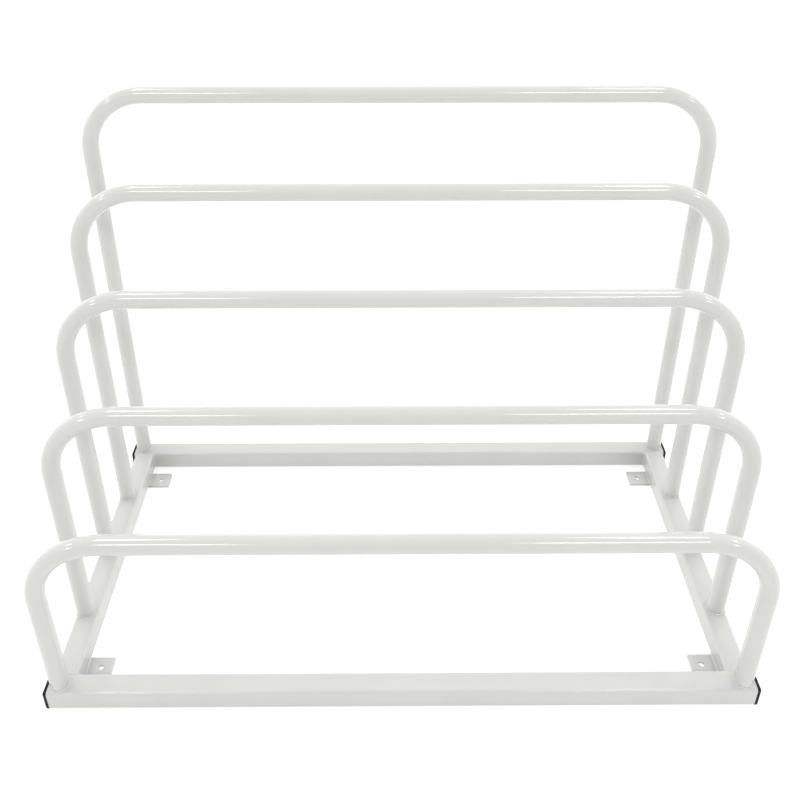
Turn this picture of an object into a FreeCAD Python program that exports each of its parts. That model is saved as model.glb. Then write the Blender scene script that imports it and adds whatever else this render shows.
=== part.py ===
import FreeCAD, Part

import math
import os

import Sketcher

# Stepped storage rack of welded steel tube: a ground frame of four square tubes, five bent
# round-tube hoops that rise step by step from the front to the rear, four floor lugs and four
# plastic end caps.
# Millimetres. +Z up, +X to the right, +Y from the front to the rear.
# The origin is on the floor, under the middle of the rack.

DRIVING_DIMENSIONS = {
    # square tube of the ground frame
    "box_side": 40,
    "box_wall": 2,
    "box_corner": 3.5,
    "crossbar_length": 1208,
    "crossbar_pitch": 600,
    "rail_setback": 3,
    # round tube of the hoops
    "tube_diameter": 32,
    "tube_wall": 2,
    "bend_radius": 120,
    "rear_bend_radius": 110,
    "hoop_pitch": 150,
    "lowest_bar_height": 369,
    "bar_step": 128,
    # floor lugs
    "lug_reach": 45,
    "lug_width": 40,
    "lug_thickness": 5,
    "lug_corner": 2,
    "lug_worn_corner": 6,
    "lug_hole": 10,
    "lug_hole_inset": 24,
    "front_lug_gap": 17.5,
    "rear_lug_gap": 25,
    # plastic end caps
    "cap_head": 6,
    "cap_chamfer": 1.5,
    "plug_side": 32,
    "plug_wall": 2,
    "plug_length": 20,
    "plug_corner": 3,
    "fin_side": 36,
    "fin_thickness": 1.5,
    "fin_corner": 2,
    "first_fin": 4,
    "fin_span": 12,
    "fin_count": 4,
    # weld beads
    "leg_weld": 3,
    "leg_weld_root": 3,
    "weld_proud": 0.6,
    "seam_radius": 6,
    "seam_crown": 0.9,
    "inner_bead": 4.5,
    "outer_bead": 3,
    "lug_bead": 3.5,
}

HOOPS = {
    1: "hoop_1_front",
    2: "hoop_2",
    3: "hoop_3_middle",
    4: "hoop_4",
    5: "hoop_5_rear",
}
MIDDLE_HOOP = 3
SIDES = {"left": -1, "right": 1}
ENDS = {"front": -1, "rear": 1}

# Lengths that several pieces share, as expressions of the driving dimensions.
BOX_TOP = "dims.box_side"
FRAME_INSIDE = "(dims.crossbar_pitch - dims.box_side) / 2"
RAIL_OUTSIDE = "(dims.crossbar_length / 2 - dims.rail_setback)"
RAIL_INSIDE = f"({RAIL_OUTSIDE} - dims.box_side)"
LEG_OFFSET = f"({RAIL_OUTSIDE} - dims.tube_diameter / 2)"
RING_RADIUS = "dims.tube_diameter / 2 + dims.leg_weld"

START = 1
END = 2
CENTRE = 3
ROOT_POINT = (-1, 1)
X_AXIS = -1

UP = FreeCAD.Vector(0, 0, 1)
HALF_TURN = FreeCAD.Rotation(UP, 180)
ALONG_X = FreeCAD.Rotation(FreeCAD.Vector(0, 1, 0), 90)

doc = FreeCAD.newDocument("tyre_storage_rack")


def make_sheet():
    """Write the driving dimensions into a spreadsheet, one named cell each."""
    sheet = doc.addObject("Spreadsheet::Sheet", "dims")
    for row, (name, value) in enumerate(DRIVING_DIMENSIONS.items(), start=1):
        sheet.set(f"A{row}", name)
        sheet.set(f"B{row}", str(value))
        sheet.setAlias(f"B{row}", name)
    doc.recompute()


def bind(thing, expressions):
    """Tie properties of an object to expressions of the sheet's cells."""
    for prop, expression in expressions.items():
        thing.setExpression(prop, expression)


def place(thing, x="0", y="0", z="0", rotation=FreeCAD.Rotation()):
    """Turn an object, and tie its position to expressions."""
    thing.Placement = FreeCAD.Placement(FreeCAD.Vector(), rotation)
    bind(thing, {"Placement.Base.x": x, "Placement.Base.y": y, "Placement.Base.z": z})


def signed(sign, expression):
    """An expression with the sign of a side or an end."""
    return f"{sign} * {expression}"


# ---------------------------------------------------------------- sketches


def new_body(label):
    """A PartDesign body with its own label."""
    body = doc.addObject("PartDesign::Body", label)
    body.Label = label
    return body


def origin_feature(body, role):
    """One of the body's own origin planes or axes."""
    return next(feature for feature in body.Origin.OriginFeatures if feature.Role == role)


def new_sketch(body, name, role):
    """An empty sketch on one of the body's origin planes."""
    sketch = body.newObject("Sketcher::SketchObject", name)
    sketch.AttachmentSupport = [(origin_feature(body, role), "")]
    sketch.MapMode = "FlatFace"
    return sketch


def constrain(sketch, name, expression, *constraint):
    """Add a dimension to a sketch and tie it to an expression."""
    index = sketch.addConstraint(Sketcher.Constraint(*constraint))
    sketch.renameConstraint(index, name)
    sketch.setExpression(f"Constraints.{name}", expression)


def add_rounded_square(sketch, name, side, corner):
    """A square with round corners, centred on the sketch's origin.

    The dimensions' first values only give the solver a start; the expressions then set them.
    """
    half = 20.0
    radius = 2.0
    flat = half - radius
    first = sketch.GeometryCount
    for quarter in range(4):
        turn = FreeCAD.Rotation(UP, 90 * quarter)
        line_start = turn.multVec(FreeCAD.Vector(-flat, -half, 0))
        line_end = turn.multVec(FreeCAD.Vector(flat, -half, 0))
        arc_centre = turn.multVec(FreeCAD.Vector(flat, -flat, 0))
        arc_from = math.radians(90 * quarter - 90)
        circle = Part.Circle(arc_centre, UP, radius)
        sketch.addGeometry(Part.LineSegment(line_start, line_end), False)
        sketch.addGeometry(Part.ArcOfCircle(circle, arc_from, arc_from + math.pi / 2), False)
    for quarter in range(4):
        line = first + 2 * quarter
        arc = line + 1
        next_line = first + (2 * quarter + 2) % 8
        sketch.addConstraint(Sketcher.Constraint("Tangent", line, END, arc, START))
        sketch.addConstraint(Sketcher.Constraint("Tangent", arc, END, next_line, START))
        sketch.addConstraint(Sketcher.Constraint("Vertical" if quarter % 2 else "Horizontal", line))
        if quarter:
            sketch.addConstraint(Sketcher.Constraint("Equal", first + 1, arc))
        constrain(sketch, f"{name}_half_{quarter}", f"{side} / 2", "Distance", *ROOT_POINT, line, half)
    constrain(sketch, f"{name}_corner", corner, "Radius", first + 1, radius)


def add_circle(sketch, name, diameter, offset):
    """A circle on the sketch's X axis, at an offset to the right of the origin."""
    start_offset = 20.0
    start_radius = 5.0
    circle = sketch.addGeometry(Part.Circle(FreeCAD.Vector(start_offset, 0, 0), UP, start_radius), False)
    sketch.addConstraint(Sketcher.Constraint("PointOnObject", circle, CENTRE, X_AXIS))
    constrain(sketch, f"{name}_offset", offset, "DistanceX", *ROOT_POINT, circle, CENTRE, start_offset)
    constrain(sketch, f"{name}_diameter", diameter, "Diameter", circle, 2 * start_radius)


def add_hoop_path(sketch, top, bend):
    """The hoop's centreline: right leg up, bend, top bar, bend, left leg down."""
    reach = 500.0
    height = 400.0
    radius = 100.0
    shoulder = height - radius
    flat = reach - radius
    right_bend = Part.Circle(FreeCAD.Vector(flat, shoulder, 0), UP, radius)
    left_bend = Part.Circle(FreeCAD.Vector(-flat, shoulder, 0), UP, radius)
    sketch.addGeometry(
        [
            Part.LineSegment(FreeCAD.Vector(reach, 0, 0), FreeCAD.Vector(reach, shoulder, 0)),
            Part.ArcOfCircle(right_bend, 0, math.pi / 2),
            Part.LineSegment(FreeCAD.Vector(flat, height, 0), FreeCAD.Vector(-flat, height, 0)),
            Part.ArcOfCircle(left_bend, math.pi / 2, math.pi),
            Part.LineSegment(FreeCAD.Vector(-reach, shoulder, 0), FreeCAD.Vector(-reach, 0, 0)),
        ],
        False,
    )
    right_leg, right_arc, bar, left_arc, left_leg = range(5)
    for before, after in ((right_leg, right_arc), (right_arc, bar), (bar, left_arc), (left_arc, left_leg)):
        sketch.addConstraint(Sketcher.Constraint("Tangent", before, END, after, START))
    sketch.addConstraint(Sketcher.Constraint("Vertical", right_leg))
    sketch.addConstraint(Sketcher.Constraint("Horizontal", bar))
    sketch.addConstraint(Sketcher.Constraint("Vertical", left_leg))
    sketch.addConstraint(Sketcher.Constraint("PointOnObject", right_leg, START, X_AXIS))
    sketch.addConstraint(Sketcher.Constraint("PointOnObject", left_leg, END, X_AXIS))
    sketch.addConstraint(Sketcher.Constraint("Equal", right_arc, left_arc))
    constrain(sketch, "bend", bend, "Radius", right_arc, radius)
    constrain(sketch, "right_reach", LEG_OFFSET, "Distance", *ROOT_POINT, right_leg, reach)
    constrain(sketch, "left_reach", LEG_OFFSET, "Distance", *ROOT_POINT, left_leg, reach)
    constrain(sketch, "top", top, "Distance", *ROOT_POINT, bar, height)


# ---------------------------------------------------------------- ground frame


def box_bar(label, section_role, length, hollow):
    """A length of square tube, or the same bar solid, centred on its own origin."""
    body = new_body(label)
    section = new_sketch(body, f"{label}_section", section_role)
    add_rounded_square(section, "outside", "dims.box_side", "dims.box_corner")
    if hollow:
        inside = "(dims.box_side - 2 * dims.box_wall)"
        add_rounded_square(section, "inside", inside, "dims.box_corner - dims.box_wall")
    bar = body.newObject("PartDesign::Pad", f"{label}_bar")
    bar.Profile = section
    bar.Midplane = True
    bind(bar, {"Length": length})
    return body


def crossbar(label, end, hollow=True):
    """The front or rear crossbar, which runs the full width of the rack."""
    body = box_bar(label, "YZ_Plane", "dims.crossbar_length", hollow)
    place(body, y=signed(end, "dims.crossbar_pitch / 2"), z="dims.box_side / 2")
    return body


def side_rail(label, side, hollow=True):
    """A side rail, cut square and butted between the two crossbars."""
    body = box_bar(label, "XZ_Plane", "dims.crossbar_pitch - dims.box_side", hollow)
    place(body, x=signed(side, f"({RAIL_OUTSIDE} - dims.box_side / 2)"), z="dims.box_side / 2")
    return body


def end_cap(label, side, end):
    """A moulded cap: a chamfered head over the tube's end, and a finned hollow plug inside it."""
    body = new_body(label)

    outline = new_sketch(body, f"{label}_outline", "YZ_Plane")
    add_rounded_square(outline, "head", "dims.box_side", "dims.box_corner")
    head = body.newObject("PartDesign::Pad", f"{label}_head")
    head.Profile = outline
    bind(head, {"Length": "dims.cap_head"})

    wall = new_sketch(body, f"{label}_wall", "YZ_Plane")
    add_rounded_square(wall, "outside", "dims.plug_side", "dims.plug_corner")
    add_rounded_square(wall, "inside", "(dims.plug_side - 2 * dims.plug_wall)", "dims.plug_corner / 2")
    plug = body.newObject("PartDesign::Pad", f"{label}_plug")
    plug.Profile = wall
    plug.Reversed = True
    bind(plug, {"Length": "dims.plug_length"})

    fin_outline = new_sketch(body, f"{label}_fin_outline", "YZ_Plane")
    bind(fin_outline, {"AttachmentOffset.Base.z": "-dims.first_fin"})
    add_rounded_square(fin_outline, "outside", "dims.fin_side", "dims.fin_corner")
    add_rounded_square(fin_outline, "inside", "(dims.plug_side - 2 * dims.plug_wall)", "dims.plug_corner / 2")
    fin = body.newObject("PartDesign::Pad", f"{label}_fin")
    fin.Profile = fin_outline
    fin.Reversed = True
    bind(fin, {"Length": "dims.fin_thickness"})

    fins = body.newObject("PartDesign::LinearPattern", f"{label}_fins")
    fins.Originals = [fin]
    fins.Direction = (origin_feature(body, "X_Axis"), [""])
    fins.Reversed = True
    bind(fins, {"Length": "dims.fin_span", "Occurrences": "dims.fin_count"})
    body.Tip = fins
    doc.recompute()

    chamfer = body.newObject("PartDesign::Chamfer", f"{label}_chamfer")
    rim = edges_where(fins.Shape, lambda edge: edge.BoundBox.XMin > DRIVING_DIMENSIONS["cap_head"] - 0.01)
    chamfer.Base = (fins, rim)
    bind(chamfer, {"Size": "dims.cap_chamfer"})
    body.Tip = chamfer

    place(
        body,
        x=signed(side, "dims.crossbar_length / 2"),
        y=signed(end, "dims.crossbar_pitch / 2"),
        z="dims.box_side / 2",
        rotation=HALF_TURN if side < 0 else FreeCAD.Rotation(),
    )
    return body


def edges_where(shape, test):
    """The names of a shape's edges that pass a test."""
    return [f"Edge{index}" for index, edge in enumerate(shape.Edges, start=1) if test(edge)]


# ---------------------------------------------------------------- hoops


def hoop(number, label):
    """One bent hoop of round tube, standing on the frame."""
    body = new_body(label)
    path = new_sketch(body, f"{label}_path", "XZ_Plane")
    top = f"dims.lowest_bar_height + {number - 1} * dims.bar_step - {BOX_TOP}"
    bend = "dims.rear_bend_radius" if number == len(HOOPS) else "dims.bend_radius"
    add_hoop_path(path, top, bend)
    section = new_sketch(body, f"{label}_section", "XY_Plane")
    add_circle(section, "outside", "dims.tube_diameter", LEG_OFFSET)
    add_circle(section, "inside", "dims.tube_diameter - 2 * dims.tube_wall", LEG_OFFSET)
    doc.recompute()
    tube = body.newObject("PartDesign::AdditivePipe", f"{label}_tube")
    tube.Profile = section
    tube.Spine = (path, [f"Edge{index}" for index in range(1, 6)])
    place(body, y=hoop_row(number), z=BOX_TOP)
    return body


def hoop_row(number):
    """How far back a hoop stands."""
    return f"{number - MIDDLE_HOOP} * dims.hoop_pitch"


# ---------------------------------------------------------------- floor lugs


def floor_lug(label, side, end, rear_corner):
    """A flat lug with one bolt hole, its long edge against the side rail's inner face."""
    body = new_body(label)
    plate = body.newObject("PartDesign::AdditiveBox", f"{label}_plate")
    bind(
        plate,
        {
            "Length": "dims.lug_reach",
            "Width": "dims.lug_width",
            "Height": "dims.lug_thickness",
            "Placement.Base.y": "-dims.lug_width / 2",
        },
    )
    doc.recompute()
    tip = plate
    for name, direction, radius in (("front", -1, "dims.lug_corner"), ("rear", 1, rear_corner)):
        corner = body.newObject("PartDesign::Fillet", f"{label}_{name}_corner")
        corner.Base = (tip, edges_where(tip.Shape, lambda edge: is_tip_corner(edge, direction)))
        bind(corner, {"Radius": radius})
        doc.recompute()
        tip = corner
    mark = new_sketch(body, f"{label}_hole_mark", "XY_Plane")
    add_circle(mark, "hole", "dims.lug_hole", "dims.lug_hole_inset")
    hole = body.newObject("PartDesign::Pocket", f"{label}_hole")
    hole.Profile = mark
    hole.Midplane = True
    hole.Type = "ThroughAll"
    rotation = HALF_TURN if side > 0 else FreeCAD.Rotation()
    place(body, x=signed(side, RAIL_INSIDE), y=lug_row(end), rotation=rotation)
    return body


def lug_row(end):
    """How far back the middle of a lug is."""
    gap = "dims.front_lug_gap" if end < 0 else "dims.rear_lug_gap"
    return signed(end, f"({FRAME_INSIDE} - {gap} - dims.lug_width / 2)")


def is_tip_corner(edge, direction):
    """True for the upright edge at the lug's free end, on the side that direction gives."""
    centre = edge.BoundBox.Center
    upright = edge.BoundBox.ZLength > DRIVING_DIMENSIONS["lug_thickness"] - 0.01
    outer = abs(centre.x - DRIVING_DIMENSIONS["lug_reach"]) < 0.01
    return upright and outer and centre.y * direction > DRIVING_DIMENSIONS["lug_width"] / 2 - 0.01


# ---------------------------------------------------------------- welds


def cylinder(label, radius, length, x, y, z, rotation=FreeCAD.Rotation()):
    """A cylinder whose sizes and place are expressions."""
    solid = doc.addObject("Part::Cylinder", label)
    bind(solid, {"Radius": radius, "Height": length})
    place(solid, x, y, z, rotation)
    return solid


def fuse(label, solids):
    """One solid from several that overlap or meet."""
    union = doc.addObject("Part::MultiFuse", label)
    union.Shapes = solids
    return union


def cut(label, blank, tool):
    """What is left of a blank outside a tool."""
    remainder = doc.addObject("Part::Cut", label)
    remainder.Label = label
    remainder.Base = blank
    remainder.Tool = tool
    return remainder


def leg_weld_blank(label, side, number, on_rail):
    """The bead round a leg's foot before the tubes are cut out of it.

    It is a low cone on a short root. On a side rail, where the leg is flush with the rail's
    outer face, the bead is dressed back to stand just proud of that face.
    """
    x = signed(side, LEG_OFFSET)
    y = hoop_row(number)
    root_z = f"{BOX_TOP} - dims.leg_weld_root"
    root = cylinder(f"{label}_root", RING_RADIUS, "dims.leg_weld_root", x, y, root_z)
    slope = doc.addObject("Part::Cone", f"{label}_slope")
    bind(slope, {"Radius1": RING_RADIUS, "Radius2": "dims.tube_diameter / 2", "Height": "dims.leg_weld"})
    place(slope, x, y, BOX_TOP)
    blank = fuse(f"{label}_blank", [root, slope])
    if not on_rail:
        return blank
    window = doc.addObject("Part::Box", f"{label}_window")
    bind(
        window,
        {
            "Length": f"2 * ({RAIL_OUTSIDE} + dims.weld_proud)",
            "Width": f"2 * ({RING_RADIUS} + 1)",
            "Height": "2 * dims.box_side",
        },
    )
    place(window, f"-{RAIL_OUTSIDE} - dims.weld_proud", f"{y} - ({RING_RADIUS} + 1)")
    dressed = doc.addObject("Part::Common", f"{label}_dressed")
    dressed.Base = blank
    dressed.Tool = window
    return dressed


def leg_foot(label, side, number):
    """The foot of a leg as a solid bar."""
    x = signed(side, LEG_OFFSET)
    return cylinder(label, "dims.tube_diameter / 2", "2 * dims.leg_weld", x, hoop_row(number), BOX_TOP)


def corner_weld(label, side, end, neighbours):
    """The bead that joins a side rail to a crossbar: across the top and down both upright corners."""
    frame_inside = signed(end, f"({FRAME_INSIDE})")
    inner_x = signed(side, RAIL_INSIDE)
    outer_x = signed(side, RAIL_OUTSIDE)
    left_x = inner_x if side > 0 else outer_x
    seam_z = f"{BOX_TOP} + dims.seam_crown - dims.seam_radius"
    seam_place = (left_x, frame_inside, seam_z, ALONG_X)
    seam = cylinder(f"{label}_seam", "dims.seam_radius", "dims.box_side", *seam_place)
    foot = "dims.box_corner"
    upright = f"{BOX_TOP} - {foot}"
    inner = cylinder(f"{label}_inner", "dims.inner_bead", upright, inner_x, frame_inside, foot)
    outer = cylinder(f"{label}_outer", "dims.outer_bead", upright, outer_x, frame_inside, foot)
    blank = fuse(f"{label}_blank", [seam, inner, outer])
    return cut(label, blank, fuse(f"{label}_tubes", neighbours))


def lug_weld(label, side, end):
    """A quarter-round bead in the angle between a lug's top and the rail's inner face."""
    bead = doc.addObject("Part::Cylinder", label)
    bead.Label = label
    bead.Angle = 90
    bind(bead, {"Radius": "dims.lug_bead", "Height": "dims.lug_width"})
    # The bead's own Z axis lies along Y, and its quarter opens upwards and away from the rail.
    inward = FreeCAD.Vector(-side, 0, 0)
    first, second = (UP, inward) if side < 0 else (inward, UP)
    rotation = FreeCAD.Rotation(first, second, FreeCAD.Vector(0, 1, 0), "ZXY")
    front_end = f"{lug_row(end)} - dims.lug_width / 2"
    place(bead, signed(side, RAIL_INSIDE), front_end, "dims.lug_thickness", rotation)
    return bead


# ---------------------------------------------------------------- the rack


def build_frame():
    """Crossbars, side rails and end caps."""
    parts = [crossbar(f"{end_name}_crossbar", end) for end_name, end in ENDS.items()]
    parts += [side_rail(f"{side_name}_side_rail", side) for side_name, side in SIDES.items()]
    for end_name, end in ENDS.items():
        for side_name, side in SIDES.items():
            parts.append(end_cap(f"end_cap_{end_name}_{side_name}", side, end))
    return parts


def build_lugs():
    """The four floor lugs and their welds."""
    parts = []
    for end_name, end in ENDS.items():
        for side_name, side in SIDES.items():
            place_name = f"{end_name}_{side_name}"
            worn = place_name == "rear_left"
            rear_corner = "dims.lug_worn_corner" if worn else "dims.lug_corner"
            parts.append(floor_lug(f"floor_lug_{place_name}", side, end, rear_corner))
            parts.append(lug_weld(f"lug_weld_{place_name}", side, end))
    return parts


def build_welds():
    """The beads at the ten legs and at the four corners of the frame."""
    bars = {name: crossbar(f"{name}_crossbar_outline", end, hollow=False) for name, end in ENDS.items()}
    rails = {name: side_rail(f"{name}_rail_outline", side, hollow=False) for name, side in SIDES.items()}
    hoop_ends = {1: "front", len(HOOPS): "rear"}
    parts = []
    for number, hoop_label in HOOPS.items():
        for side_name, side in SIDES.items():
            label = f"{hoop_label}_weld_{side_name}"
            end_name = hoop_ends.get(number)
            bar = bars[end_name] if end_name else rails[side_name]
            blank = leg_weld_blank(label, side, number, on_rail=end_name is None)
            foot = leg_foot(f"{label}_foot", side, number)
            parts.append(cut(label, blank, fuse(f"{label}_tubes", [bar, foot])))
            if end_name:
                corner = f"corner_weld_{end_name}_{side_name}"
                neighbours = [bar, rails[side_name], foot, blank]
                parts.append(corner_weld(corner, side, ENDS[end_name], neighbours))
    return parts


def check(parts):
    """Stop if any object failed, or if a sub-part is empty, broken or not the volume it should be."""
    for thing in doc.Objects:
        if {"Invalid", "Error"} & set(thing.State):
            raise RuntimeError(f"{thing.Label} failed: {thing.State}")
    for part in parts:
        shape = part.Shape
        if shape.isNull() or not shape.isValid() or len(shape.Solids) != 1:
            raise RuntimeError(f"{part.Label} isn't one valid solid")
    dims = DRIVING_DIMENSIONS
    bore = dims["tube_diameter"] - 2 * dims["tube_wall"]
    section = math.pi / 4 * (dims["tube_diameter"] ** 2 - bore**2)
    for label in HOOPS.values():
        tube = doc.getObject(label)
        path = doc.getObject(f"{label}_path")
        expected = section * path.Shape.Length
        if abs(tube.Shape.Volume - expected) > expected * 0.001:
            raise RuntimeError(f"{label} has the wrong volume")
    plate = dims["lug_reach"] * dims["lug_width"] * dims["lug_thickness"]
    drilled = math.pi / 4 * dims["lug_hole"] ** 2 * dims["lug_thickness"]
    for part in parts:
        if part.Label.startswith("floor_lug") and part.Shape.Volume > plate - drilled:
            raise RuntimeError(f"{part.Label} has no hole")


def main():
    """Build every sub-part, check it and write its STEP file."""
    make_sheet()
    parts = build_frame()
    parts += [hoop(number, label) for number, label in HOOPS.items()]
    parts += build_lugs()
    parts += build_welds()
    doc.recompute()
    check(parts)
    os.makedirs("parts", exist_ok=True)
    for part in parts:
        part.Shape.exportStep(f"parts/{part.Label}.step")
        print(f"{part.Label}: {part.Shape.Volume:.0f} cubic mm")


main()
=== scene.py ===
"""The looks of a stepped tyre storage rack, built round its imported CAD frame.

Square tubes, bent hoops, floor lugs, plastic end caps and weld beads are shaped as meshes in the
places of their CAD nodes, dressed in their finishes and shown on a pale studio floor.
Lengths are in metres, in the CAD frame: +X right, +Y to the rear, +Z up, origin on the floor.
"""

import logging
import math
import random
from collections.abc import Sequence
from dataclasses import dataclass
from enum import Enum

import bmesh
import bpy
from mathutils import Matrix, Vector


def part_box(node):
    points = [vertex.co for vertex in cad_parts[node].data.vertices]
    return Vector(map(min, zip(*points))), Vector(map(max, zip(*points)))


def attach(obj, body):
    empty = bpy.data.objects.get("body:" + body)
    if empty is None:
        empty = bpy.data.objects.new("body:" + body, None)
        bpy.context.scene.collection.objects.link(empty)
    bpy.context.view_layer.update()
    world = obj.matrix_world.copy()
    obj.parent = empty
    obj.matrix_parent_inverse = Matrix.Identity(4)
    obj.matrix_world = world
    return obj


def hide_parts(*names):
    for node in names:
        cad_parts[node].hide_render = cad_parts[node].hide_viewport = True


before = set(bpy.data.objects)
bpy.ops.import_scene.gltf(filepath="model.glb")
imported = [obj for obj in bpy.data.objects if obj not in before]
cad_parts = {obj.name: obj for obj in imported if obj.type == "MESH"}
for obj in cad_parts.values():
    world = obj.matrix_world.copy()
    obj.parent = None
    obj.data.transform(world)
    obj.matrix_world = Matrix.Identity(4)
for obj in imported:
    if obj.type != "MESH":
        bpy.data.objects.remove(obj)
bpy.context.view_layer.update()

MM = 0.001
BODY = "root"

# How many facets a rounding has: a tube's corner, a filed edge, a plate's corner.
TUBE_CORNER_FACETS = 6
EASED_FACETS = 2
PLATE_CORNER_FACETS = 5

log = logging.getLogger("rack")

BMesh = bmesh.types.BMesh
BMEdge = bmesh.types.BMEdge
BMVert = bmesh.types.BMVert
Socket = bpy.types.NodeSocket
Material = bpy.types.Material


class Side(Enum):
    """The rack's two sides, with the sign of each one's X."""

    LEFT = -1
    RIGHT = 1

    @property
    def word(self) -> str:
        """The side's name as it stands in node names."""
        return self.name.lower()


class End(Enum):
    """The rack's two ends, with the sign of each one's Y."""

    FRONT = -1
    REAR = 1

    @property
    def word(self) -> str:
        """The end's name as it stands in node names."""
        return self.name.lower()


class Slot(Enum):
    """The record's material slots."""

    COAT = "powder_coat"
    CAP = "cap_plastic"


CORNERS = [(end, side) for end in End for side in Side]


# ---------------------------------------------------------------- finishes


def linear(hex_colour: str) -> tuple[float, float, float, float]:
    """Turn an sRGB hex colour into the linear one that shaders take.

    Args:
        hex_colour: six hex digits after a hash sign.

    Returns:
        Linear red, green, blue and an alpha of 1.
    """
    channels = [int(hex_colour[start : start + 2], 16) / 255 for start in (1, 3, 5)]
    red, green, blue = (
        channel / 12.92 if channel <= 0.04045 else ((channel + 0.055) / 1.055) ** 2.4
        for channel in channels
    )
    return red, green, blue, 1.0


def add_node(
    tree: bpy.types.NodeTree,
    kind: str,
    settings: dict[str, object] | None = None,
    inputs: dict[str | int, object] | None = None,
) -> bpy.types.Node:
    """Add a node with its settings and links.

    Args:
        tree: the material's or world's node tree.
        kind: the node's type, such as "ShaderNodeTexNoise".
        settings: properties of the node itself.
        inputs: for each input socket, a value to set or an output socket to link.

    Returns:
        The new node.
    """
    node = tree.nodes.new(kind)
    for name, value in (settings or {}).items():
        setattr(node, name, value)
    for name, value in (inputs or {}).items():
        if isinstance(value, Socket):
            tree.links.new(value, node.inputs[name])
        else:
            node.inputs[name].default_value = value
    return node


def new_material(name: str) -> tuple[Material, bpy.types.NodeTree]:
    """Make an empty node material.

    Args:
        name: the material's name.

    Returns:
        The material and its cleared node tree.
    """
    material = bpy.data.materials.new(name)
    material.use_nodes = True
    material.node_tree.nodes.clear()
    return material, material.node_tree


@dataclass(frozen=True)
class PowderCoat:
    """Polyester powder coat, sprayed dry on steel tube and baked to a gloss.

    The eye sees an even light grey under a hard clear gloss. The film flows out almost flat: what
    is left is orange peel, a faint ripple a millimetre or two across. Over a hand's width the film
    is a little thicker or thinner, which shifts the grey by a shade and the gloss with it.
    """

    name: str = "baked_polyester_powder_coat"
    light: str = "#C0C0BE"
    shade: str = "#BABAB8"
    roughness: float = 0.10
    roughness_spread: float = 0.15
    ior: float = 1.5
    # Orange peel is 1 to 2 mm across; it is drawn at 3.5 mm so that it shows.
    peel_width: float = 3.5 * MM
    peel_height: float = 0.006 * MM
    film_width: float = 90 * MM

    def material(self) -> Material:
        """Build the finish's node material.

        Returns:
            The material.
        """
        material, tree = new_material(self.name)
        place = add_node(tree, "ShaderNodeTexCoord").outputs["Object"]
        film = add_node(
            tree,
            "ShaderNodeTexNoise",
            inputs={"Vector": place, "Scale": 1 / self.film_width, "Detail": 2.0, "Roughness": 0.5},
        ).outputs["Fac"]
        colour = add_node(
            tree,
            "ShaderNodeMix",
            {"data_type": "RGBA"},
            {"Factor": film, 6: linear(self.shade), 7: linear(self.light)},
        ).outputs[2]
        gloss = add_node(
            tree,
            "ShaderNodeMapRange",
            inputs={
                "Value": film,
                "To Min": self.roughness * (1 - self.roughness_spread),
                "To Max": self.roughness * (1 + self.roughness_spread),
            },
        ).outputs["Result"]
        peel = add_node(
            tree,
            "ShaderNodeTexNoise",
            inputs={"Vector": place, "Scale": 1 / self.peel_width, "Detail": 1.0, "Roughness": 0.4},
        ).outputs["Fac"]
        ripple = add_node(
            tree,
            "ShaderNodeBump",
            inputs={"Height": peel, "Distance": self.peel_height, "Strength": 1.0},
        ).outputs["Normal"]
        shader = add_node(
            tree,
            "ShaderNodeBsdfPrincipled",
            inputs={"Base Color": colour, "Roughness": gloss, "IOR": self.ior, "Normal": ripple},
        )
        add_node(tree, "ShaderNodeOutputMaterial", inputs={"Surface": shader.outputs["BSDF"]})
        return material


@dataclass(frozen=True)
class MouldedPlastic:
    """Black polyethylene, injection moulded in a spark-eroded tool.

    The eye sees a deep black with a soft sheen, broken up by the tool's fine pitted grain.
    """

    name: str = "moulded_polyethylene"
    colour: str = "#040405"
    worn: str = "#0A0A0B"
    roughness: float = 0.5
    ior: float = 1.51
    sheen: float = 0.2
    # The tool's grain is about 0.2 mm; it is drawn at 0.8 mm so that it shows.
    grain_width: float = 0.8 * MM
    grain_height: float = 0.03 * MM

    def material(self) -> Material:
        """Build the finish's node material.

        Returns:
            The material.
        """
        material, tree = new_material(self.name)
        place = add_node(tree, "ShaderNodeTexCoord").outputs["Object"]
        grain = add_node(
            tree,
            "ShaderNodeTexNoise",
            inputs={
                "Vector": place,
                "Scale": 1 / self.grain_width,
                "Detail": 3.0,
                "Roughness": 0.6,
            },
        ).outputs["Fac"]
        colour = add_node(
            tree,
            "ShaderNodeMix",
            {"data_type": "RGBA"},
            {"Factor": grain, 6: linear(self.colour), 7: linear(self.worn)},
        ).outputs[2]
        pits = add_node(
            tree,
            "ShaderNodeBump",
            inputs={"Height": grain, "Distance": self.grain_height, "Strength": 1.0},
        ).outputs["Normal"]
        shader = add_node(
            tree,
            "ShaderNodeBsdfPrincipled",
            inputs={
                "Base Color": colour,
                "Roughness": self.roughness,
                "IOR": self.ior,
                "Specular IOR Level": self.sheen,
                "Normal": pits,
            },
        )
        add_node(tree, "ShaderNodeOutputMaterial", inputs={"Surface": shader.outputs["BSDF"]})
        return material


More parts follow.
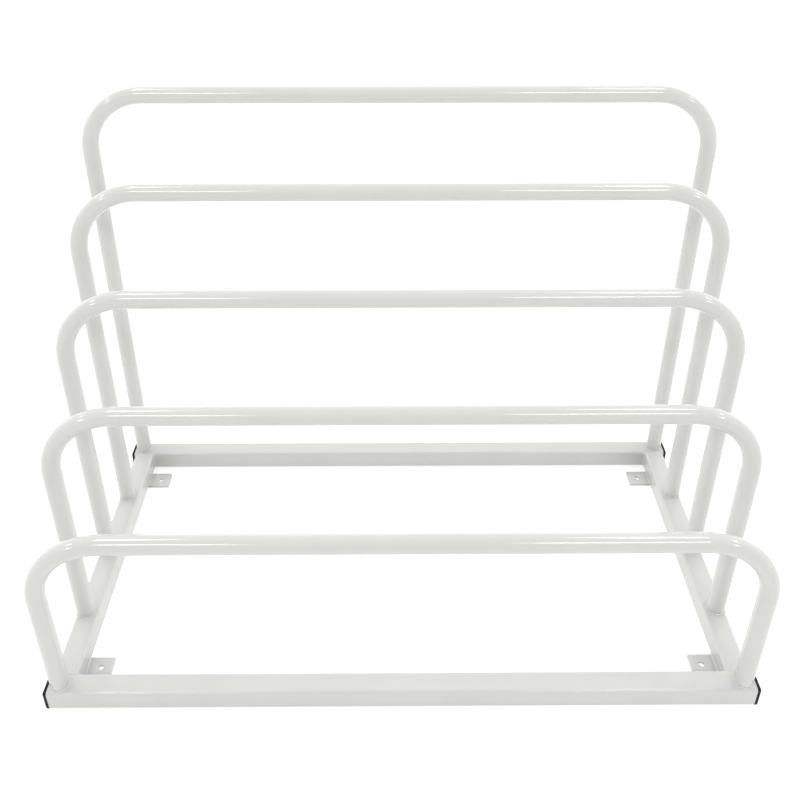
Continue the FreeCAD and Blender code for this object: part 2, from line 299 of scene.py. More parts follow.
@dataclass(frozen=True)
class PaleFloor:
    """Opal acrylic sheet, cast, sanded matt and lit from below: white, even, almost shadowless."""

    name: str = "lit_opal_acrylic"
    light: str = "#CFCFCF"
    shade: str = "#CDCDCD"
    roughness: float = 0.85
    cloud_width: float = 0.7
    glow: float = 0.48

    def material(self) -> Material:
        """Build the finish's node material.

        Returns:
            The material.
        """
        material, tree = new_material(self.name)
        place = add_node(tree, "ShaderNodeTexCoord").outputs["Object"]
        clouds = add_node(
            tree,
            "ShaderNodeTexNoise",
            inputs={"Vector": place, "Scale": 1 / self.cloud_width, "Detail": 3.0},
        ).outputs["Fac"]
        colour = add_node(
            tree,
            "ShaderNodeMix",
            {"data_type": "RGBA"},
            {"Factor": clouds, 6: linear(self.shade), 7: linear(self.light)},
        ).outputs[2]
        shader = add_node(
            tree,
            "ShaderNodeBsdfPrincipled",
            inputs={
                "Base Color": colour,
                "Roughness": self.roughness,
                "Emission Color": linear("#FFFFFF"),
                "Emission Strength": self.glow,
            },
        )
        add_node(tree, "ShaderNodeOutputMaterial", inputs={"Surface": shader.outputs["BSDF"]})
        return material


# ---------------------------------------------------------------- shaping


@dataclass(frozen=True)
class Space:
    """The space that a CAD node takes."""

    low: Vector
    high: Vector

    @classmethod
    def of(cls, node: str) -> "Space":
        """The space of a named node."""
        return cls(*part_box(node))

    @property
    def centre(self) -> Vector:
        """The middle of the space."""
        return (self.low + self.high) / 2

    @property
    def size(self) -> Vector:
        """The space's length along each axis."""
        return self.high - self.low


def about(point: Vector, turn: Matrix) -> Matrix:
    """Centre a turn or a scaling on a point.

    Args:
        point: the fixed point.
        turn: the turn or scaling, as if about the origin.

    Returns:
        The same move about the point.
    """
    return Matrix.Translation(point) @ turn @ Matrix.Translation(-point)


class Sweep:
    """A closed outline that is drawn along step by step and leaves a skin behind it."""

    def __init__(self, bm: BMesh, outline: list[BMEdge]) -> None:
        """Start from an outline.

        Args:
            bm: the mesh that the skin grows in.
            outline: the outline's edges, one closed loop.
        """
        self.bm = bm
        self.first = outline
        self.last = outline

    @classmethod
    def circle(cls, bm: BMesh, radius: float, place: Matrix, sides: int) -> "Sweep":
        """Start from a circle that is moved from the XY plane to where the sweep starts."""
        verts = bmesh.ops.create_circle(bm, segments=sides, radius=radius, matrix=place)["verts"]
        return cls(bm, list(dict.fromkeys(edge for vert in verts for edge in vert.link_edges)))

    @classmethod
    def rounded_square(cls, bm: BMesh, side: float, corner: float, place: Matrix) -> "Sweep":
        """Start from a square with round corners.

        Args:
            bm: the mesh to draw in.
            side: the square's side.
            corner: the corners' radius.
            place: puts a square from the XY plane where the sweep starts.

        Returns:
            The sweep, not yet moved.
        """
        verts = bmesh.ops.create_grid(bm, x_segments=1, y_segments=1, size=side / 2)["verts"]
        rounded = bmesh.ops.bevel(
            bm,
            geom=verts,
            offset=corner,
            offset_type="OFFSET",
            segments=TUBE_CORNER_FACETS,
            profile=0.5,
            affect="VERTICES",
            material=-1,
        )
        face = max((f for v in rounded["verts"] for f in v.link_faces), key=lambda f: len(f.verts))
        outline = list(face.edges)
        bmesh.ops.transform(bm, matrix=place, verts=list(face.verts))
        bmesh.ops.delete(bm, geom=[face], context="FACES_ONLY")
        return cls(bm, outline)

    def step(self, *moves: Matrix) -> None:
        """Draw the outline on and leave one band of skin.

        Args:
            moves: what is done to the drawn outline, in turn.
        """
        made = bmesh.ops.extrude_edge_only(self.bm, edges=self.last)["geom"]
        self.last = [item for item in made if isinstance(item, BMEdge) and item.is_boundary]
        verts = [item for item in made if isinstance(item, BMVert)]
        for move in moves:
            bmesh.ops.transform(self.bm, matrix=move, verts=verts)

    def close_start(self) -> None:
        """Fill the outline that the sweep started from."""
        bmesh.ops.edgeloop_fill(self.bm, edges=self.first)

    def close_end(self) -> None:
        """Fill the outline where the sweep now is."""
        bmesh.ops.edgeloop_fill(self.bm, edges=self.last)

    def join_walls(self, inner: "Sweep") -> None:
        """Close a tube's wall at both ends, between this skin and the one inside it."""
        bmesh.ops.bridge_loops(self.bm, edges=self.first + inner.first)
        bmesh.ops.bridge_loops(self.bm, edges=self.last + inner.last)


def ease_edges(bm: BMesh, edges: Sequence[BMEdge], width: float) -> None:
    """Round off sharp edges, as filing and a coat of paint do.

    Args:
        bm: the mesh.
        edges: the edges to round.
        width: how far the rounding reaches from each edge.
    """
    bmesh.ops.bevel(
        bm,
        geom=list(edges),
        offset=width,
        offset_type="OFFSET",
        segments=EASED_FACETS,
        profile=0.5,
        affect="EDGES",
        material=-1,
    )


def finish_piece(bm: BMesh, node: str, kind: str, material: Material) -> None:
    """Turn a finished mesh into an object that stands for its CAD node.

    Args:
        bm: the mesh, in the CAD frame; it is freed.
        node: the CAD node that the piece replaces.
        kind: what the piece is, in a word that ends its name.
        material: its finish.
    """
    bmesh.ops.recalc_face_normals(bm, faces=bm.faces)
    for face in bm.faces:
        face.smooth = True
    mesh = bpy.data.meshes.new(f"{node}-{kind}")
    bm.to_mesh(mesh)
    bm.free()
    mesh.materials.append(material)
    piece = bpy.data.objects.new(f"{node}-{kind}", mesh)
    bpy.context.scene.collection.objects.link(piece)
    normals = piece.modifiers.new("flat_faces_stay_flat", "WEIGHTED_NORMAL")
    normals.keep_sharp = True
    normals.weight = 100
    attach(piece, BODY)
    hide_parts(node)
    log.info("%s: %d faces", piece.name, len(mesh.polygons))


# ---------------------------------------------------------------- welds


@dataclass(frozen=True)
class Bead:
    """A run of weld metal: overlapping puddles, each a low hump with a crease before the next.

    Attributes:
        radius: half the bead's thickness.
        pitch: how far apart the puddles are.
        hump: how much a puddle swells, as a part of the radius.
        wander: how much the puddles differ in size, as a part of the radius.
        flatness: the section's thickness across the joint, as a part of its width.
        taper: the size of a straight run's first bands, and of its last in reverse, as parts of
            the radius.
        sides: edges round the bead's section.
        steps: bands of skin to a puddle.
    """

    radius: float
    pitch: float = 3.4 * MM
    hump: float = 0.22
    wander: float = 0.1
    flatness: float = 0.5
    taper: tuple[float, ...] = (0.35, 0.75)
    sides: int = 12
    steps: int = 6

    def _sizes(self, length: float, chance: random.Random) -> list[float]:
        """Work out the bead's size at each band.

        Args:
            length: the run's length.
            chance: the seeded source of the puddles' differences.

        Returns:
            One factor of the radius for each band.
        """
        puddles = max(2, round(length / self.pitch))
        sizes = []
        for _ in range(puddles):
            size = 1 + chance.uniform(-self.wander, self.wander)
            for band in range(self.steps):
                swell = math.sin(math.pi * band / self.steps)
                sizes.append(size * (1 - self.hump / 2 + self.hump * swell))
        return sizes

    def _section(
        self, bm: BMesh, middle: Vector, facing: Matrix, size: float, face: Vector
    ) -> Sweep:
        """Draw the bead's first section, an oval that lies flat across the joint.

        Args:
            bm: the mesh to add to.
            middle: the section's middle.
            facing: turns +Z to the way that the bead runs.
            size: the bead's size there, as a factor of its radius.
            face: the way that the bead's free face looks.

        Returns:
            The sweep, not yet moved.
        """
        flatten = Matrix.Scale(self.flatness, 4, face.normalized())
        place = about(middle, flatten) @ Matrix.Translation(middle) @ facing
        return Sweep.circle(bm, self.radius * size, place, self.sides)

    def lay_ring(
        self, bm: BMesh, centre: Vector, ring_radius: float, chance: random.Random
    ) -> None:
        """Lay the bead in a level ring.

        Args:
            bm: the mesh to add to.
            centre: the ring's centre.
            ring_radius: from that centre to the middle of the bead.
            chance: the seeded source of the puddles' differences.
        """
        sizes = self._sizes(2 * math.pi * ring_radius, chance)
        middle = centre + Vector((ring_radius, 0, 0))
        upright = Matrix.Rotation(math.pi / 2, 4, "X")
        sweep = self._section(bm, middle, upright, sizes[0], Vector((1, 0, 1)))
        turn = about(centre, Matrix.Rotation(2 * math.pi / len(sizes), 4, "Z"))
        for before, size in zip(sizes, sizes[1:]):
            middle = turn @ middle
            sweep.step(turn, about(middle, Matrix.Scale(size / before, 4)))
        bmesh.ops.bridge_loops(bm, edges=sweep.first + sweep.last)

    def lay_run(
        self, bm: BMesh, start: Vector, end: Vector, face: Vector, chance: random.Random
    ) -> None:
        """Lay the bead in a straight run with rounded ends.

        Args:
            bm: the mesh to add to.
            start: the middle of the bead where it starts.
            end: the middle of the bead where it stops.
            face: the way that the bead's free face looks.
            chance: the seeded source of the puddles' differences.
        """
        run = end - start
        sizes = self._sizes(run.length, chance)
        sizes = [*self.taper, *sizes, *reversed(self.taper)]
        facing = run.to_track_quat("Z", "Y").to_matrix().to_4x4()
        sweep = self._section(bm, start, facing, sizes[0], face)
        sweep.close_start()
        advance = run / (len(sizes) - 1)
        middle = start.copy()
        for before, size in zip(sizes, sizes[1:]):
            middle += advance
            sweep.step(Matrix.Translation(advance), about(middle, Matrix.Scale(size / before, 4)))
        sweep.close_end()


# ---------------------------------------------------------------- ground frame


@dataclass(frozen=True)
class GroundFrame:
    """Two crossbars with two side rails butted between them, all of one square tube.

    Attributes:
        wall: the tube's wall.
        corner: the radius of the tube's outer corners.
        eased: how far the sawn ends are filed round.
        crown: how far the top bead stands above the tubes.
        seam_bead: the bead across the top.
        seam_swell: how big a puddle usually swells in it, as a factor of its radius.
        seam_offset: from the joint to the middle of that bead, over the crossbar's round corner.
        seam_overrun: how far it runs on past the rail at either side.
        inner_bead: the upright bead inside the frame.
        outer_bead: the upright bead outside it.
        upright_offset: how far an upright bead's middle stands off both tubes.
        upright_drop: how far below the tubes' tops it stops.
    """

    wall: float = 2 * MM
    corner: float = 5 * MM
    eased: float = 0.5 * MM
    crown: float = 0.3 * MM
    seam_bead: Bead = Bead(3.4 * MM)
    seam_swell: float = 1.1
    seam_offset: float = 0.8 * MM
    seam_overrun: float = 0.5 * MM
    inner_bead: Bead = Bead(3.4 * MM)
    outer_bead: Bead = Bead(2.8 * MM)
    upright_offset: float = 0.7 * MM
    upright_drop: float = 1.5 * MM

    def build(self, coat: Material) -> None:
        """Build the four tubes and the four corner welds.

        Args:
            coat: the frame's finish.
        """
        for end in End:
            self._tube(f"{end.word}_crossbar", Matrix.Rotation(math.pi / 2, 4, "Y"), coat)
        for side in Side:
            self._tube(f"{side.word}_side_rail", Matrix.Rotation(-math.pi / 2, 4, "X"), coat)
        for end, side in CORNERS:
            self._corner_weld(end, side, coat)

    def _tube(self, node: str, facing: Matrix, coat: Material) -> None:
        """Build one length of square tube.

        Args:
            node: the tube's CAD node.
            facing: turns +Z to the way that the tube runs.
            coat: its finish.
        """
        space = Space.of(node)
        along = facing @ Vector((0, 0, 1))
        length = abs(space.size.dot(along))
        side = space.size.z
        start = space.centre - along * length / 2
        place = Matrix.Translation(start) @ facing
        bm = bmesh.new()
        skins = [
            Sweep.rounded_square(bm, side, self.corner, place),
            Sweep.rounded_square(bm, side - 2 * self.wall, self.corner - self.wall, place),
        ]
        for skin in skins:
            skin.step(Matrix.Translation(along * length))
        rims = skins[0].first + skins[0].last
        skins[0].join_walls(skins[1])
        ease_edges(bm, rims, self.eased)
        finish_piece(bm, node, "tube", coat)

    def _corner_weld(self, end: End, side: Side, coat: Material) -> None:
        """Lay the beads that join a side rail to a crossbar.

        One bead fills the groove across the top, and one runs up each upright corner.

        Args:
            end: the crossbar's end of the rack.
            side: the rail's side of the rack.
            coat: the beads' finish.
        """
        node = f"corner_weld_{end.word}_{side.word}"
        rail = Space.of(f"{side.word}_side_rail")
        joint_y = rail.low.y if end is End.FRONT else rail.high.y
        inside, outside = rail.low.x, rail.high.x
        if side is Side.LEFT:
            inside, outside = outside, inside
        chance = random.Random(node)
        bm = bmesh.new()

        seam = self.seam_bead
        seam_height = rail.high.z + self.crown - seam.radius * seam.flatness * self.seam_swell
        seam_row = joint_y + end.value * self.seam_offset
        seam_start = Vector((inside - side.value * self.seam_overrun, seam_row, seam_height))
        seam_stop = Vector((outside + side.value * self.seam_overrun, seam_row, seam_height))
        seam.lay_run(bm, seam_start, seam_stop, Vector((0, 0, 1)), chance)

        low = rail.low.z + self.corner
        high = rail.high.z - self.upright_drop
        y = joint_y - end.value * self.upright_offset
        for corner_x, outward, bead in (
            (inside, -1, self.inner_bead),
            (outside, 1, self.outer_bead),
        ):
            x = corner_x + outward * side.value * self.upright_offset
            face = Vector((outward * side.value, -end.value, 0))
            bead.lay_run(bm, Vector((x, y, low)), Vector((x, y, high)), face, chance)
        finish_piece(bm, node, "bead", coat)


@dataclass(frozen=True)
class EndCap:
    """A moulded cap: a low domed head over the tube's end and a finned hollow plug inside it.

    Attributes:
        corner: the radius of the head's upright corners.
        dome: the head's rounding, as pairs of how far along the head and how wide it is there.
        plug_side: the plug's side between its fins.
        plug_wall: the plug's wall.
        plug_corner: the radius of the plug's corners.
        bore_corner: the radius of its hollow's corners.
        fin_side: the plug's side over its fins.
        fin_thickness: one fin's thickness.
        fins: how many fins.
    """

    corner: float = 3.5 * MM
    dome: tuple[tuple[float, float], ...] = (
        (0.0, 0.985),
        (0.06, 1.0),
        (0.62, 1.0),
        (0.8, 0.985),
        (0.92, 0.95),
        (0.98, 0.88),
        (1.0, 0.6),
    )
    plug_side: float = 32 * MM
    plug_wall: float = 2 * MM
    plug_corner: float = 2.8 * MM
    bore_corner: float = 1.4 * MM
    fin_side: float = 36 * MM
    fin_thickness: float = 1.5 * MM
    fins: int = 4

    def build(self, end: End, side: Side, plastic: Material) -> None:
        """Build one cap.

        Args:
            end: the crossbar's end of the rack.
            side: which end of that crossbar.
            plastic: the cap's finish.
        """
        node = f"end_cap_{end.word}_{side.word}"
        space = Space.of(node)
        tube = Space.of(f"{end.word}_crossbar")
        outward = Vector((side.value, 0, 0))
        mouth_x = tube.high.x if side is Side.RIGHT else tube.low.x
        tip_x = space.high.x if side is Side.RIGHT else space.low.x
        mouth = Vector((mouth_x, space.centre.y, space.centre.z))
        facing = Matrix.Rotation(side.value * math.pi / 2, 4, "Y")
        bm = bmesh.new()
        self._head(bm, mouth, outward, abs(tip_x - mouth_x), space.size.z, facing)
        self._plug(bm, mouth, -outward, space.size.x - abs(tip_x - mouth_x), facing)
        finish_piece(bm, node, "cap", plastic)

    def _head(
        self,
        bm: BMesh,
        mouth: Vector,
        outward: Vector,
        thickness: float,
        side: float,
        facing: Matrix,
    ) -> None:
        """Shape the head, from the tube's mouth out to the top of the dome.

        Args:
            bm: the mesh to add to.
            mouth: the middle of the tube's mouth.
            outward: the way out of the tube.
            thickness: how far the head stands out.
            side: the head's side.
            facing: turns +Z along the tube.
        """
        (_, width), *rest = self.dome
        place = Matrix.Translation(mouth) @ facing
        head = Sweep.rounded_square(bm, side * width, self.corner, place)
        head.close_start()
        reach = 0.0
        for share, next_width in rest:
            middle = mouth + outward * thickness * share
            advance = Matrix.Translation(outward * thickness * (share - reach))
            head.step(advance, about(middle, Matrix.Scale(next_width / width, 4)))
            reach = share
            width = next_width
        head.close_end()

    def _plug(
        self, bm: BMesh, mouth: Vector, inward: Vector, length: float, facing: Matrix
    ) -> None:
        """Shape the hollow plug with its fins.

        Args:
            bm: the mesh to add to.
            mouth: the middle of the tube's mouth.
            inward: the way into the tube.
            length: how far the plug reaches.
            facing: turns +Z along the tube.
        """
        place = Matrix.Translation(mouth) @ facing
        outer = Sweep.rounded_square(bm, self.plug_side, self.plug_corner, place)
        bore_side = self.plug_side - 2 * self.plug_wall
        inner = Sweep.rounded_square(bm, bore_side, self.bore_corner, place)
        spacing = length / (self.fins + 1)
        middle = mouth.copy()
        swell = self.fin_side / self.plug_side
        for _ in range(self.fins):
            middle += inward * (spacing - self.fin_thickness)
            outer.step(Matrix.Translation(inward * (spacing - self.fin_thickness)))
            outer.step(about(middle, Matrix.Scale(swell, 4)))
            middle += inward * self.fin_thickness
            outer.step(Matrix.Translation(inward * self.fin_thickness))
            outer.step(about(middle, Matrix.Scale(1 / swell, 4)))
        outer.step(Matrix.Translation(inward * spacing))
        inner.step(Matrix.Translation(inward * length))
        outer.join_walls(inner)


# ---------------------------------------------------------------- hoops


@dataclass(frozen=True)
class Hoop:
    """A hoop of round tube, drawn cold round a bending former at both shoulders.

    Attributes:
        node: the hoop's CAD node.
        wall: the tube's wall.
        bend_radius: the bends' radius, to the middle of the tube.
        sides: edges round the tube.
        bend_steps: bands of skin round one bend.
        squash: how much a bend flattens the tube towards its own centre.
        bulge: how much the tube spreads sideways there.
        die_width: half the length of the faint dent that the clamp leaves before a bend.
        die_depth: that dent's depth.
        foot_bead: the weld round each foot.
        bead_offset: how far that bead's middle stands off the leg and the frame.
    """

    node: str
    wall: float = 2 * MM
    bend_radius: float = 120 * MM
    sides: int = 64
    bend_steps: int = 36
    squash: float = 0.02
    bulge: float = 0.008
    die_width: float = 3 * MM
    die_depth: float = 0.16 * MM
    foot_bead: Bead = Bead(2.5 * MM, hump=0.36, wander=0.2, flatness=0.4)
    bead_offset: float = 0.3 * MM

    def build(self, coat: Material) -> None:
        """Build the tube and the weld round each foot.

        Args:
            coat: the hoop's finish.
        """
        space = Space.of(self.node)
        bm = bmesh.new()
        outer = self._skin(bm, space, space.size.y / 2)
        inner = self._skin(bm, space, space.size.y / 2 - self.wall)
        outer.join_walls(inner)
        finish_piece(bm, self.node, "tube", coat)
        for side in Side:
            self._foot_weld(space, side, coat)

    def _skin(self, bm: BMesh, space: Space, radius: float) -> Sweep:
        """Draw one skin of the tube: left leg, bend, bar, bend, right leg.

        Args:
            bm: the mesh to add to.
            space: the hoop's space.
            radius: the skin's radius.

        Returns:
            The sweep, at the foot of the right leg.
        """
        half_tube = space.size.y / 2
        leg = space.high.x - half_tube
        shoulder = space.high.z - half_tube - self.bend_radius
        row = space.centre.y
        foot = Vector((-leg, row, space.low.z))
        sweep = Sweep.circle(bm, radius, Matrix.Translation(foot), self.sides)
        middle = self._straight(sweep, foot, Vector((0, 0, shoulder - foot.z)), radius)
        middle = self._bend(sweep, middle, Vector((-leg + self.bend_radius, row, shoulder)))
        middle = self._straight(sweep, middle, Vector((2 * (leg - self.bend_radius), 0, 0)), radius)
        middle = self._bend(sweep, middle, Vector((leg - self.bend_radius, row, shoulder)))
        self._straight(sweep, middle, Vector((0, 0, foot.z - shoulder)), radius)
        return sweep

    def _straight(self, sweep: Sweep, start: Vector, run: Vector, radius: float) -> Vector:
        """Draw a straight length, with the clamp's dent near each of its ends.

        Args:
            sweep: the skin.
            start: the middle of the tube where the run starts.
            run: the way and distance to go.
            radius: the skin's radius.

        Returns:
            The middle of the tube where the run ends.
        """
        along = run.normalized()
        dent = 1 - self.die_depth / radius
        stations = [
            (self.die_width, dent),
            (2 * self.die_width, 1.0),
            (run.length / 2, 1.0),
            (run.length - 2 * self.die_width, 1.0),
            (run.length - self.die_width, dent),
            (run.length, 1.0),
        ]
        reach = 0.0
        width = 1.0
        for distance, next_width in stations:
            middle = start + along * distance
            advance = Matrix.Translation(along * (distance - reach))
            sweep.step(advance, about(middle, Matrix.Scale(next_width / width, 4)))
            reach = distance
            width = next_width
        return start + run

    def _bend(self, sweep: Sweep, start: Vector, centre: Vector) -> Vector:
        """Draw a quarter turn, clockwise as seen from the front, with the tube a little oval in it.

        Args:
            sweep: the skin.
            start: the middle of the tube where the bend starts.
            centre: the bend's centre.

        Returns:
            The middle of the tube where the bend ends.
        """
        turn = about(centre, Matrix.Rotation(math.pi / 2 / self.bend_steps, 4, "Y"))
        across = Vector((0, 1, 0))
        middle = start.copy()
        flat_before = 1.0
        wide_before = 1.0
        for count in range(1, self.bend_steps + 1):
            middle = turn @ middle
            towards = (centre - middle).normalized()
            strain = math.sin(math.pi * count / self.bend_steps) ** 0.5
            flat = 1 - self.squash * strain
            wide = 1 + self.bulge * strain
            sweep.step(
                turn,
                about(middle, Matrix.Scale(flat / flat_before, 4, towards)),
                about(middle, Matrix.Scale(wide / wide_before, 4, across)),
            )
            flat_before = flat
            wide_before = wide
        return middle

    def _foot_weld(self, space: Space, side: Side, coat: Material) -> None:
        """Lay the weld round one foot.

        On a side rail the foot is flush with the rail's outer face, and the bead is dressed back
        there to the space that its CAD node takes.

        Args:
            space: the hoop's space.
            side: which foot.
            coat: the bead's finish.
        """
        node = f"{self.node}_weld_{side.word}"
        half_tube = space.size.y / 2
        leg = space.high.x - half_tube
        height = space.low.z + self.bead_offset
        centre = Vector((side.value * leg, space.centre.y, height))
        bm = bmesh.new()
        self.foot_bead.lay_ring(bm, centre, half_tube + self.bead_offset, random.Random(node))
        room = Space.of(node)
        for vert in bm.verts:
            vert.co.x = max(room.low.x, min(room.high.x, vert.co.x))
            vert.co.y = max(room.low.y, min(room.high.y, vert.co.y))
        finish_piece(bm, node, "bead", coat)


# ---------------------------------------------------------------- floor lugs


@dataclass(frozen=True)
class FloorLug:
    """A lug sheared from flat bar, with one drilled hole, welded inside a side rail.

    Attributes:
        end: which end of the rack it is at.
        side: which side.
        hole_radius: the hole's radius.
        hole_inset: from the rail's face to the hole's middle.
        corner: the radius of the free corners.
        worn_corner: the radius of the one corner that was ground rounder.
        eased: how far the sheared edges are rounded.
        sharp: the angle between two faces past which their edge counts as a sheared one.
        hole_sides: edges round the hole.
        bead: the weld along the rail.
        bead_offset: how far that bead's middle stands off the rail and the plate.
    """

    end: End
    side: Side
    hole_radius: float = 5 * MM
    hole_inset: float = 24 * MM
    corner: float = 2 * MM
    worn_corner: float = 6 * MM
    eased: float = 0.5 * MM
    sharp: float = math.radians(60)
    hole_sides: int = 40
    bead: Bead = Bead(3.0 * MM, flatness=0.45)
    bead_offset: float = 0.6 * MM

    def build(self, coat: Material) -> None:
        """Build the plate and its weld.

        Args:
            coat: the lug's finish.
        """
        place = f"{self.end.word}_{self.side.word}"
        self._plate(f"floor_lug_{place}", coat)
        self._weld(f"lug_weld_{place}", coat)

    def _rail_face(self) -> float:
        """The X of the rail's inner face."""
        rail = Space.of(f"{self.side.word}_side_rail")
        return rail.low.x if self.side is Side.RIGHT else rail.high.x

    def _plate(self, node: str, coat: Material) -> None:
        """Build the drilled plate.

        Args:
            node: the plate's CAD node.
            coat: its finish.
        """
        space = Space.of(node)
        inward = -self.side.value
        bm = bmesh.new()
        outline = bmesh.ops.create_grid(bm, x_segments=1, y_segments=1, size=0.5)["verts"]
        bmesh.ops.scale(bm, vec=(space.size.x, space.size.y, 1), verts=outline)
        bmesh.ops.translate(bm, vec=(space.centre.x, space.centre.y, space.low.z), verts=outline)
        for direction in End:
            worn = direction is End.REAR and self.end is End.REAR and self.side is Side.LEFT
            tip = max(bm.verts, key=lambda v: v.co.x * inward + v.co.y * direction.value)
            bmesh.ops.bevel(
                bm,
                geom=[tip],
                offset=self.worn_corner if worn else self.corner,
                offset_type="OFFSET",
                segments=PLATE_CORNER_FACETS,
                profile=0.5,
                affect="VERTICES",
                material=-1,
            )
        bmesh.ops.delete(bm, geom=list(bm.faces), context="FACES_ONLY")
        hole_x = self._rail_face() + inward * self.hole_inset
        hole_place = Matrix.Translation((hole_x, space.centre.y, space.low.z))
        bmesh.ops.create_circle(
            bm, segments=self.hole_sides, radius=self.hole_radius, matrix=hole_place
        )
        bmesh.ops.triangle_fill(bm, use_beauty=True, edges=list(bm.edges))
        bottom = list(bm.faces)
        raised = bmesh.ops.extrude_face_region(bm, geom=bottom, use_keep_orig=True)["geom"]
        top = [item for item in raised if isinstance(item, BMVert)]
        bmesh.ops.translate(bm, vec=(0, 0, space.size.z), verts=top)
        bmesh.ops.recalc_face_normals(bm, faces=bm.faces)
        rims = [e for e in bm.edges if e.is_manifold and e.calc_face_angle() > self.sharp]
        level = [e for e in rims if abs(e.verts[0].co.z - e.verts[1].co.z) < self.eased]
        ease_edges(bm, level, self.eased)
        finish_piece(bm, node, "plate", coat)

    def _weld(self, node: str, coat: Material) -> None:
        """Lay the bead in the angle between the plate and the rail.

        Args:
            node: the bead's CAD node.
            coat: its finish.
        """
        space = Space.of(node)
        x = self._rail_face() - self.side.value * self.bead_offset
        z = space.low.z + self.bead_offset
        bm = bmesh.new()
        start = Vector((x, space.low.y, z))
        stop = Vector((x, space.high.y, z))
        self.bead.lay_run(bm, start, stop, Vector((-self.side.value, 0, 1)), random.Random(node))
        finish_piece(bm, node, "bead", coat)


# ---------------------------------------------------------------- studio


@dataclass(frozen=True)
class SoftboxRow:
    """A row of rectangular studio lights, hung side by side along X.

    Attributes:
        name: the row's name.
        places: the X of each light's middle.
        back: the row's Y.
        height: the row's Z.
        width: one light's length along X.
        depth: its other length.
        radiance: how bright its face is.
    """

    name: str
    places: tuple[float, ...]
    back: float
    height: float
    width: float
    depth: float
    radiance: float

    def hang(self, target: Vector) -> None:
        """Hang the lights and turn each to a target, its long sides level.

        Args:
            target: the point that they face.
        """
        for number, place in enumerate(self.places, start=1):
            light = bpy.data.lights.new(f"{self.name}_{number}", "AREA")
            light.shape = "RECTANGLE"
            light.size = self.width
            light.size_y = self.depth
            light.energy = self.radiance * math.pi * self.width * self.depth
            lamp = bpy.data.objects.new(light.name, light)
            lamp.location = (place, self.back, self.height)
            lamp.rotation_euler = (target - lamp.location).to_track_quat("-Z", "Y").to_euler()
            bpy.context.scene.collection.objects.link(lamp)
            log.info("%s hangs", lamp.name)


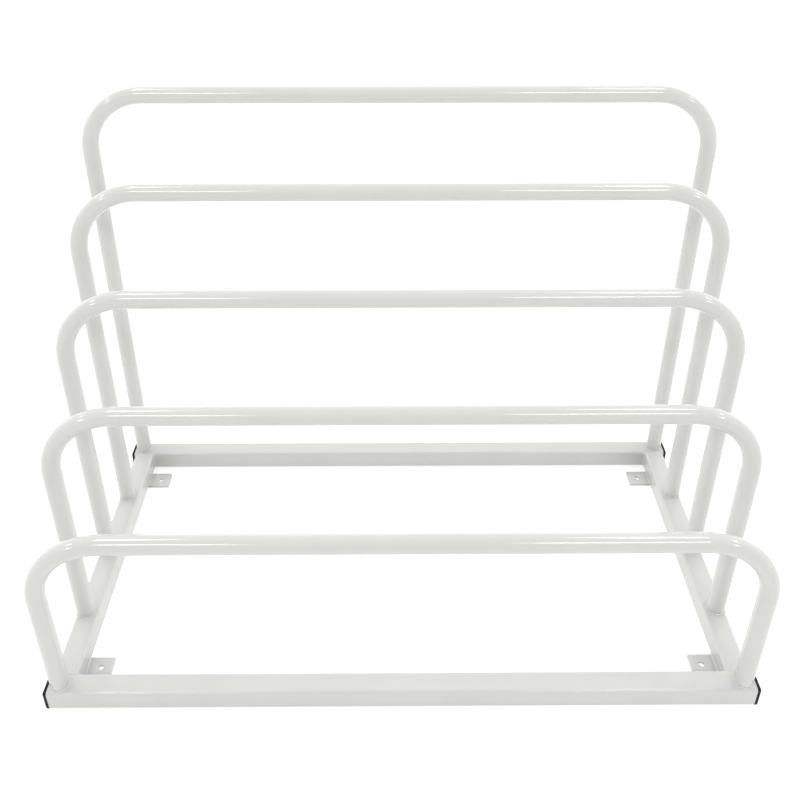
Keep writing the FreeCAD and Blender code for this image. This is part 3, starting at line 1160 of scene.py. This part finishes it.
@dataclass(frozen=True)
class Studio:
    """A pale floor, a lit backdrop, softboxes in front and overhead, and the camera.

    Attributes:
        camera_place: the camera's position.
        tilt: how far it looks down, in degrees.
        pan: how far it looks to the right, in degrees.
        lens: its focal length, in millimetres on a 36 mm sensor.
        shift: how far the frame is off the lens's axis, in frame widths.
        target: the point that every softbox faces.
        floor_radius: the floor's radius.
        floor_sides: edges round the floor.
        backdrop_way: the way to the lit backdrop, low down behind the rack.
        backdrop: the backdrop's brightness.
        room: the brightness of the room opposite it.
        rows: the softboxes.
    """

    camera_place: tuple[float, float, float] = (-0.0165, -1.2787, 1.4092)
    tilt: float = 29.27
    pan: float = 0.34
    lens: float = 40.03
    shift: tuple[float, float] = (0.0047, -0.1702)
    target: tuple[float, float, float] = (0.0, 0.0, 0.4)
    floor_radius: float = 40.0
    floor_sides: int = 96
    backdrop_way: tuple[float, float, float] = (0.0, 0.64, -0.768)
    backdrop: float = 2.46
    room: float = 0.58
    rows: tuple[SoftboxRow, ...] = (
        SoftboxRow(
            name="front_softbox",
            places=(-7.0, -1.95, 1.7, 7.0),
            back=-4.1,
            height=4.7,
            width=1.5,
            depth=0.9,
            radiance=11.5,
        ),
        SoftboxRow(
            name="overhead_softbox",
            places=(-7.0, -2.12, 1.88, 7.0),
            back=0.8,
            height=5.6,
            width=1.45,
            depth=0.8,
            radiance=12.0,
        ),
    )

    def build(self) -> None:
        """Set up the floor, the lights and the camera."""
        self._floor()
        self._lights()
        self._camera()

    def _floor(self) -> None:
        """Lay the floor."""
        bm = bmesh.new()
        bmesh.ops.create_circle(
            bm, cap_ends=True, segments=self.floor_sides, radius=self.floor_radius
        )
        mesh = bpy.data.meshes.new("studio_floor")
        bm.to_mesh(mesh)
        bm.free()
        mesh.materials.append(PaleFloor().material())
        floor = bpy.data.objects.new("studio_floor", mesh)
        bpy.context.scene.collection.objects.link(floor)

    def _lights(self) -> None:
        """Set the light all round and hang the softboxes."""
        world = bpy.data.worlds.new("studio")
        bpy.context.scene.world = world
        world.use_nodes = True
        tree = world.node_tree
        surround = tree.nodes["Background"]
        surround.inputs["Color"].default_value = linear("#FFFFFF")
        direction = add_node(tree, "ShaderNodeTexCoord").outputs["Generated"]
        towards_backdrop = add_node(
            tree,
            "ShaderNodeVectorMath",
            {"operation": "DOT_PRODUCT"},
            {0: direction, 1: self.backdrop_way},
        ).outputs["Value"]
        brightness = add_node(
            tree,
            "ShaderNodeMapRange",
            inputs={
                "Value": towards_backdrop,
                "From Min": -1.0,
                "To Min": self.room,
                "To Max": self.backdrop,
            },
        ).outputs["Result"]
        tree.links.new(brightness, surround.inputs["Strength"])
        for row in self.rows:
            row.hang(Vector(self.target))

    def _camera(self) -> None:
        """Place the camera."""
        lens = bpy.data.cameras.new("camera")
        lens.sensor_width = 36.0
        lens.lens = self.lens
        lens.shift_x, lens.shift_y = self.shift
        lens.clip_end = 200.0
        camera = bpy.data.objects.new("camera", lens)
        camera.location = self.camera_place
        camera.rotation_euler = (math.radians(90 - self.tilt), 0, math.radians(-self.pan))
        bpy.context.scene.collection.objects.link(camera)
        bpy.context.scene.camera = camera
        bpy.context.scene.view_settings.view_transform = "Standard"


# ---------------------------------------------------------------- the rack


def main() -> None:
    """Build the rack piece by piece, then the studio."""
    logging.basicConfig(level=logging.INFO, format="%(name)s: %(message)s")
    coat = PowderCoat().material()
    plastic = MouldedPlastic().material()
    GroundFrame().build(coat)
    for node in ("hoop_1_front", "hoop_2", "hoop_3_middle", "hoop_4"):
        Hoop(node).build(coat)
    Hoop("hoop_5_rear", bend_radius=110 * MM).build(coat)
    for end, side in CORNERS:
        FloorLug(end, side).build(coat)
        EndCap().build(end, side, plastic)
    Studio().build()


if __name__ == "__main__":
    main()
